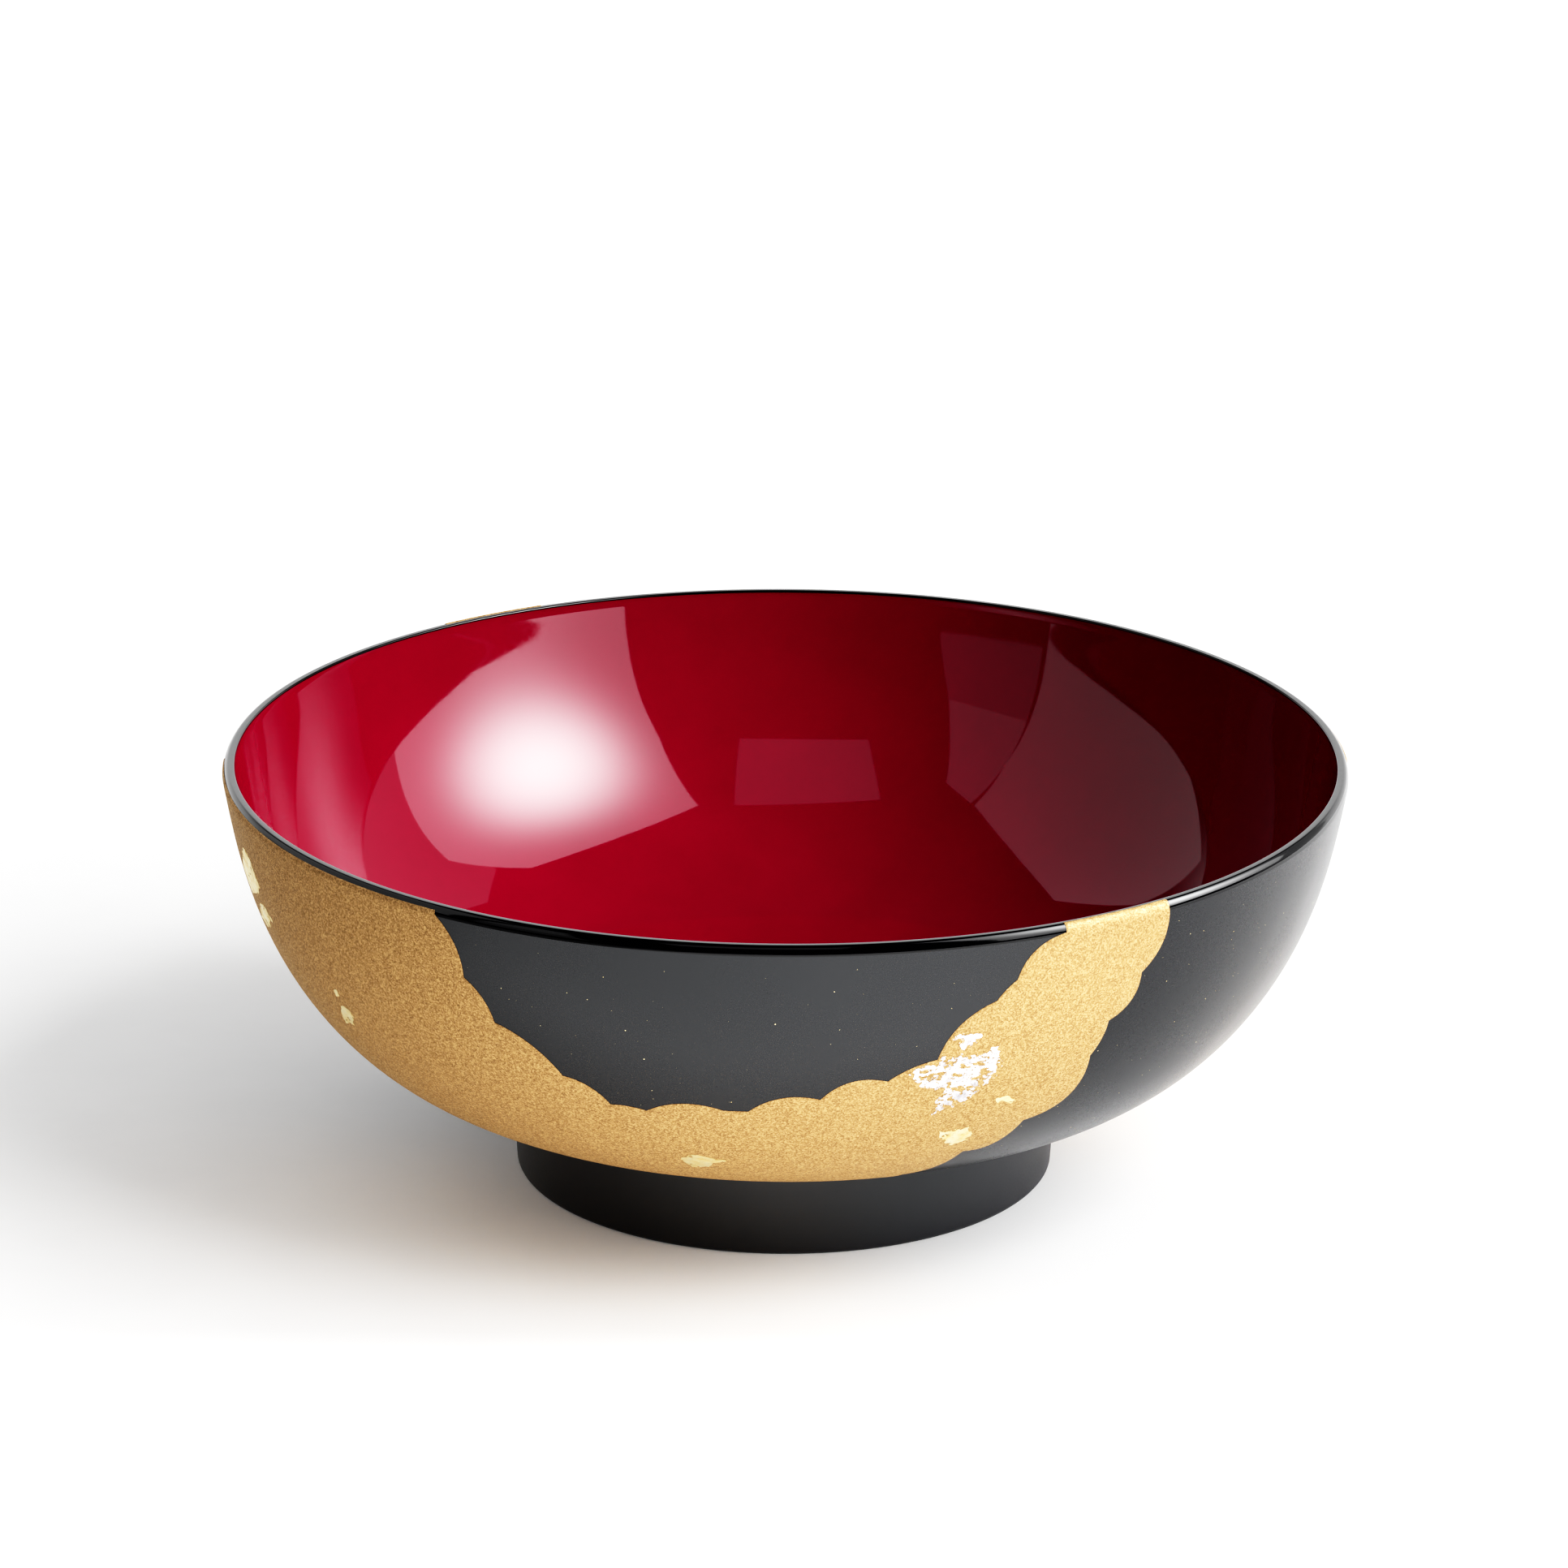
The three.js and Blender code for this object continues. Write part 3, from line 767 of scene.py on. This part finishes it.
def build_leaves(cloud):
    """Every torn piece of leaf on both clouds, kept inside the cloud's outline."""
    for order, (name, (corners, ragged, cracked)) in enumerate(LEAVES.items()):
        corners = np.array(corners, float)
        loop = unrolled(corners[:, 0], corners[:, 1] * MM)
        low, high = loop.min(axis=0) - LEAF_BORDER, loop.max(axis=0) + LEAF_BORDER
        across = np.arange(low[0], high[0], LEAF_GRID)
        up = np.arange(low[1], high[1], LEAF_GRID)
        grid = np.stack(np.meshgrid(across, up), axis=-1).reshape(-1, 2)
        field = ragged_field(grid, loop, ragged, cracked, 11.3 * (order + 1))
        field = np.minimum(field, distance_to(grid, cloud) / MM - LEAF_MARGIN)
        flat, faces = marched(field, grid, (len(up), len(across)))
        crinkle = np.array([
            noise.noise(Vector((x, y, order)) * CRINKLE_SCALE) for x, y in flat / MM
        ])
        lift = CLOUD_LIFT + LEAF_LIFT * (1 + CRINKLE_DEPTH * crinkle)
        vertices, solid = layer(flat, faces, lift, CLOUD_LIFT)
        silver = name.startswith("silver")
        for side, points in (("front", vertices), ("back", turn_half(vertices))):
            new_piece(f"{name}_{side}_torn", f"{name}_{side}",
                      "silver_leaf" if silver else "gold_leaf", points, solid,
                      SILVER_LEAF if silver else GOLD_LEAF)


# ---------------------------------------------------------------- sprinkled dust

DUST_TRIES = 1100
DUST_SIZE = (0.04 * MM, 0.12 * MM)
DUST_BAND = (0.2, 0.97)
DUST_EDGE_LIFT = 0.012 * MM
DUST_LIFT = 0.03 * MM
DUST_ROOT = -0.01 * MM
DUST_CLEARANCE = 1.0 * MM


def build_dust(cloud):
    """Stray flecks of metal powder on the black coat between the clouds."""
    rng = random.Random(7)
    spots = np.array([
        (rng.uniform(-90, 90) * GIRTH_PER_DEGREE, rng.uniform(*DUST_BAND) * LIP_WAY)
        for _ in range(DUST_TRIES)
    ])
    spots = spots[distance_to(spots, cloud) < -DUST_CLEARANCE]
    vertices, faces = [], []
    for centre in spots:
        size = DUST_SIZE[0] + (DUST_SIZE[1] - DUST_SIZE[0]) * rng.random() ** 3
        sides = rng.choice((5, 6, 7))
        turn = rng.uniform(0, math.tau)
        angle = turn + math.tau * np.arange(sides) / sides
        reach = np.array([size * rng.uniform(0.7, 1.2) for _ in range(sides)])
        ring = centre + np.stack([np.cos(angle), np.sin(angle)], axis=1) * reach[:, None]
        flat = np.concatenate([ring, [centre]])
        fans = [[k, (k + 1) % sides, sides] for k in range(sides)]
        lift = np.array([DUST_EDGE_LIFT] * sides + [DUST_LIFT])
        points, solid = layer(flat, fans, lift, DUST_ROOT)
        if rng.random() < 0.5:
            points = turn_half(points)
        faces += [tuple(v + len(vertices) for v in f) for f in solid]
        vertices += [tuple(p) for p in points]
    new_piece("gold_dust_on_black", None, "gold_leaf", vertices, faces, GOLD_LEAF, smooth=False)


# ---------------------------------------------------------------- stage, camera and light
# PATCH values place a painted pool of light, the brighter part of the table: its middle, the distances
# from it between which it fades, the strip of y over which it starts in front of the bowl, and its glow.
# SHADE values paint shade on the table, darkening its colour and glow from one x to another.

TABLE_RADIUS = 0.9
TABLE_SIDES = 96
TABLE_GLOW = 0.18
TABLE_EDGE_GLOW = 1.4
TABLE_EDGE_START = 0.28
PATCH_PLACE = (0.06, -0.20, 0)
PATCH_REACH = (0.04, 0.38)
PATCH_EDGE = (-0.10, -0.15)
PATCH_GLOW = 1.8
SHADE_START = -0.20
SHADE_END = -0.26
SHADE_DEPTH = 0.2


def build_stage():
    """A round white table, lit a little from within so that its shadows stay pale. Its edge
    fades into the white behind it, a patch in front of the bowl glows brighter as a painted pool
    of light, and painted shade darkens the table to the left of the picture."""
    angle = np.linspace(0, math.tau, TABLE_SIDES, endpoint=False)
    ring = np.stack([np.cos(angle), np.sin(angle), np.zeros(TABLE_SIDES)], axis=1) * TABLE_RADIUS
    mesh = bpy.data.meshes.new("table")
    mesh.from_pydata(ring.tolist(), [], [tuple(range(TABLE_SIDES))])
    n = Nodes("white_table")
    split = n.tree.nodes.new("ShaderNodeSeparateXYZ")
    n.link(n.place, split.inputs[0])
    leftwards = n.math("ADD", split.outputs["X"], n.math("MULTIPLY", split.outputs["Y"], 0.1))
    # painted shade: the table's colour and glow darken towards the left
    shade = n.remap(leftwards, SHADE_END, SHADE_START, SHADE_DEPTH, 1)
    paper = n.ramp(n.noise(45, 3), [(0.3, (0.79, 0.79, 0.79)), (0.7, (0.82, 0.82, 0.82))])
    n.feed(n.mix(shade, (0.1, 0.1, 0.1), paper), "Base Color")
    n.constant(Roughness=0.8, Specular_IOR_Level=0.2, Emission_Color=(1, 1, 1, 1))
    glow = n.remap(
        n.distance((0, 0, 0)), TABLE_EDGE_START, TABLE_RADIUS, TABLE_GLOW, TABLE_EDGE_GLOW,
    )
    near = n.remap(split.outputs["Y"], *PATCH_EDGE, 0, 1)
    # painted light: a glowing patch on the table in front of the bowl
    patch = n.remap(n.distance(PATCH_PLACE), *PATCH_REACH, PATCH_GLOW, 0)
    glow = n.math("ADD", glow, n.math("MULTIPLY", near, patch))
    n.feed(n.math("MULTIPLY", glow, shade), "Emission Strength")
    mesh.materials.append(n.material)
    table = bpy.data.objects.new("table", mesh)
    bpy.context.scene.collection.objects.link(table)
    return table


CAMERA_DISTANCE = 1.562
CAMERA_ELEVATION = math.radians(18.834)
AIM_HEIGHT = LIP_TOP - 6.7 * MM
CAMERA_LENS = 167.7
CAMERA_ROLL = math.radians(0.315)
CAMERA_SHIFT = -0.00114


def build_camera():
    """A long lens from the front and above, aimed just under the lip."""
    data = bpy.data.cameras.new("camera")
    data.lens = CAMERA_LENS
    data.sensor_width = 36
    data.shift_x = CAMERA_SHIFT
    data.clip_start = 0.05
    camera = bpy.data.objects.new("camera", data)
    camera.location = (0, -CAMERA_DISTANCE * math.cos(CAMERA_ELEVATION),
                       AIM_HEIGHT + CAMERA_DISTANCE * math.sin(CAMERA_ELEVATION))
    camera.rotation_euler = (math.pi / 2 - CAMERA_ELEVATION, 0, 0)
    camera.rotation_euler.rotate_axis("Z", CAMERA_ROLL)
    bpy.context.scene.collection.objects.link(camera)
    bpy.context.scene.camera = camera


LIGHT_AIM = Vector((0, 0, 0.07))


def light_frame(azimuth, elevation, distance):
    """The middle of a panel that faces the bowl, and its sideways, upward and facing axes."""
    a, e = math.radians(azimuth), math.radians(elevation)
    towards = Vector((math.sin(a) * math.cos(e), -math.cos(a) * math.cos(e), math.sin(e)))
    sideways = Vector((math.cos(a), math.sin(a), 0))
    return LIGHT_AIM + towards * distance, sideways, towards.cross(sideways), towards


def lamp(name, azimuth, elevation, distance, size, radiance, only=None):
    """A square soft light that shades the surfaces but isn't mirrored in the lacquer."""
    middle, sideways, upwards, towards = light_frame(azimuth, elevation, distance)
    data = bpy.data.lights.new(name, "AREA")
    data.size = size
    data.energy = math.pi * size * size * radiance
    light = bpy.data.objects.new(name, data)
    light.location = middle
    light.rotation_euler = Matrix((sideways, upwards, towards)).transposed().to_euler()
    light.visible_camera = False
    light.visible_glossy = False
    bpy.context.scene.collection.objects.link(light)
    if only:
        receivers = bpy.data.collections.new(name + "_receivers")
        receivers.objects.link(only)
        light.light_linking.receiver_collection = receivers
    return light


def mirrored_panel(name, azimuth, elevation, distance, corners, radiance, hot=None):
    """A glowing panel that the glossy surfaces mirror. Its corners are distances sideways and
    up from its middle. hot is a brighter spot: place, extra radiance, and the distance at
    which that has fallen to a third."""
    middle, sideways, upwards, _ = light_frame(azimuth, elevation, distance)
    mesh = bpy.data.meshes.new(name)
    mesh.from_pydata([middle + sideways * u + upwards * v for u, v in corners], [],
                     [tuple(range(len(corners)))])
    material = bpy.data.materials.new(name)
    material.use_nodes = True
    nodes, links = material.node_tree.nodes, material.node_tree.links
    nodes.remove(nodes["Principled BSDF"])
    emission = nodes.new("ShaderNodeEmission")
    emission.inputs["Strength"].default_value = radiance
    links.new(emission.outputs[0], nodes["Material Output"].inputs["Surface"])
    if hot:
        (u, v), extra, reach = hot
        away = nodes.new("ShaderNodeVectorMath")
        away.operation = "DISTANCE"
        away.inputs[1].default_value = middle + sideways * u + upwards * v
        links.new(nodes.new("ShaderNodeNewGeometry").outputs["Position"], away.inputs[0])
        value = away.outputs["Value"]
        for operation, by in (("DIVIDE", reach), ("POWER", 2), ("MULTIPLY", -1), ("EXPONENT", 0),
                              ("MULTIPLY", extra), ("ADD", radiance)):
            node = nodes.new("ShaderNodeMath")
            node.operation = operation
            node.inputs[1].default_value = by
            links.new(value, node.inputs[0])
            value = node.outputs["Value"]
        links.new(value, emission.inputs["Strength"])
    mesh.materials.append(material)
    panel = bpy.data.objects.new(name, mesh)
    panel.visible_camera = False
    panel.visible_diffuse = False
    panel.visible_shadow = False
    bpy.context.scene.collection.objects.link(panel)


# The white sweep behind the bowl: over which part of the view direction's y it brightens, and
# over which part of its z it fades. BACKDROP_RADIANCE is what the camera itself sees.
SWEEP_SIDES = (0.3, 0.8)
SWEEP_TOP = (0.55, 0.3)
SWEEP_RADIANCE = 2.2
ROOM_RADIANCE = 0.05
BACKDROP_RADIANCE = 2.0


def build_room():
    """White behind the bowl, near black towards the camera and overhead."""
    world = bpy.data.worlds.new("studio")
    bpy.context.scene.world = world
    world.use_nodes = True
    nodes, links = world.node_tree.nodes, world.node_tree.links
    room = nodes["Background"]
    backdrop = nodes.new("ShaderNodeBackground")
    backdrop.inputs["Color"].default_value = (1, 1, 1, 1)
    backdrop.inputs["Strength"].default_value = BACKDROP_RADIANCE
    pick = nodes.new("ShaderNodeMixShader")
    links.new(nodes.new("ShaderNodeLightPath").outputs["Is Camera Ray"], pick.inputs["Fac"])
    links.new(room.outputs[0], pick.inputs[1])
    links.new(backdrop.outputs[0], pick.inputs[2])
    links.new(pick.outputs[0], nodes["World Output"].inputs["Surface"])
    split = nodes.new("ShaderNodeSeparateXYZ")
    links.new(nodes.new("ShaderNodeTexCoord").outputs["Generated"], split.inputs[0])

    def fade(axis, dark, bright):
        node = nodes.new("ShaderNodeMapRange")
        node.interpolation_type = "SMOOTHSTEP"
        node.inputs["From Min"].default_value = dark
        node.inputs["From Max"].default_value = bright
        links.new(split.outputs[axis], node.inputs["Value"])
        return node.outputs[0]

    both = nodes.new("ShaderNodeMath")
    both.operation = "MULTIPLY"
    links.new(fade("Y", *SWEEP_SIDES), both.inputs[0])
    links.new(fade("Z", *SWEEP_TOP), both.inputs[1])
    strength = nodes.new("ShaderNodeMath")
    strength.operation = "MULTIPLY_ADD"
    strength.inputs[1].default_value = SWEEP_RADIANCE
    strength.inputs[2].default_value = ROOM_RADIANCE
    links.new(both.outputs[0], strength.inputs[0])
    links.new(strength.outputs[0], room.inputs["Strength"])
    room.inputs["Color"].default_value = (1, 1, 1, 1)


TONE_HEIGHT = 1.2
TONE_MIDDLE = 0.536
TONE_WHITE = 1.64
TONE_STEPS = (0.03, 0.07, 0.13, 0.22, 0.34, 0.5, 0.7, 0.95, 1.25)


def print_tone(value):
    """The tone curve: deep darks, a quick rise, and a soft shoulder into white."""
    return TONE_HEIGHT * value ** 2 / (value ** 2 + TONE_MIDDLE)


def set_tone():
    view = bpy.context.scene.view_settings
    view.view_transform = "Standard"
    view.use_curve_mapping = True
    mapping = view.curve_mapping
    mapping.white_level = (TONE_WHITE,) * 3
    curve = mapping.curves[3]
    for value in TONE_STEPS:
        curve.points.new(value / TONE_WHITE, print_tone(value))
    curve.points[-1].location = (1, 1)
    mapping.update()


# Corners of the mirrored panels, in metres sideways and up from each panel's middle. The
# surround is the dim light beside and below the window, and it lies just behind it.
WINDOW_OUTLINE = [
    (-0.35, -0.18), (0.275, -0.18), (0.322, 0.15), (0.236, 0.30), (-0.175, 0.385), (-0.28, 0.12),
]
WINDOW_SURROUND = [(0.2, -0.25), (0.65, -0.25), (0.65, 0.30), (0.457, 0.36), (0.28, 0.25)]
WINDOW_HOT = ((-0.015, 0.05), 28, 0.15)
REFLECTOR_OUTLINE = [
    (0.338, -0.19), (0.254, 0.11), (0.184, 0.27), (-0.275, 0.31), (-0.33, 0.15), (-0.325, -0.04),
    (-0.113, -0.16),
]
SIDE_HIGH_OUTLINE = [(0.16, -0.11), (-0.15, -0.11), (-0.123, 0.39), (0.014, 0.31), (0.076, 0.13)]
SIDE_LOW_OUTLINE = [(0.25, -0.32), (-0.165, -0.355), (-0.15, -0.11), (0.16, -0.11)]
CARD_OUTLINE = [(0.263, -0.10), (-0.231, -0.12), (-0.279, 0.30), (0.229, 0.39)]


def build_light(table):
    """Azimuth and elevation in degrees, distance in metres, then size or outline, and radiance."""
    lamp("key", 67, 37, 2.5, 2.0, 13.1)
    lamp("overhead", 0, 90, 2.4, 5.0, 0.6)
    lamp("over_table", 0, 90, 2.4, 5.0, 3.2, only=table)
    mirrored_panel("window", 74, 27, 0.45, WINDOW_OUTLINE, 4, WINDOW_HOT)
    mirrored_panel("window_surround", 74, 27, 0.46, WINDOW_SURROUND, 1.2)
    mirrored_panel("reflector", -95, 26, 0.50, REFLECTOR_OUTLINE, 1.67)
    mirrored_panel("side_high", -50, 26, 0.90, SIDE_HIGH_OUTLINE, 1.3)
    mirrored_panel("side_low", -50, 26, 0.90, SIDE_LOW_OUTLINE, 0.8)
    mirrored_panel("card", -6, 43, 1.0, CARD_OUTLINE, 1.1)
    build_room()
    set_tone()


build_camera()
build_wood_body()
build_red_lining()
build_outer_coat()
build_lip()
build_foot()
build_underside()
cloud_line = build_clouds()
build_leaves(cloud_line)
build_dust(cloud_line)
build_light(build_stage())
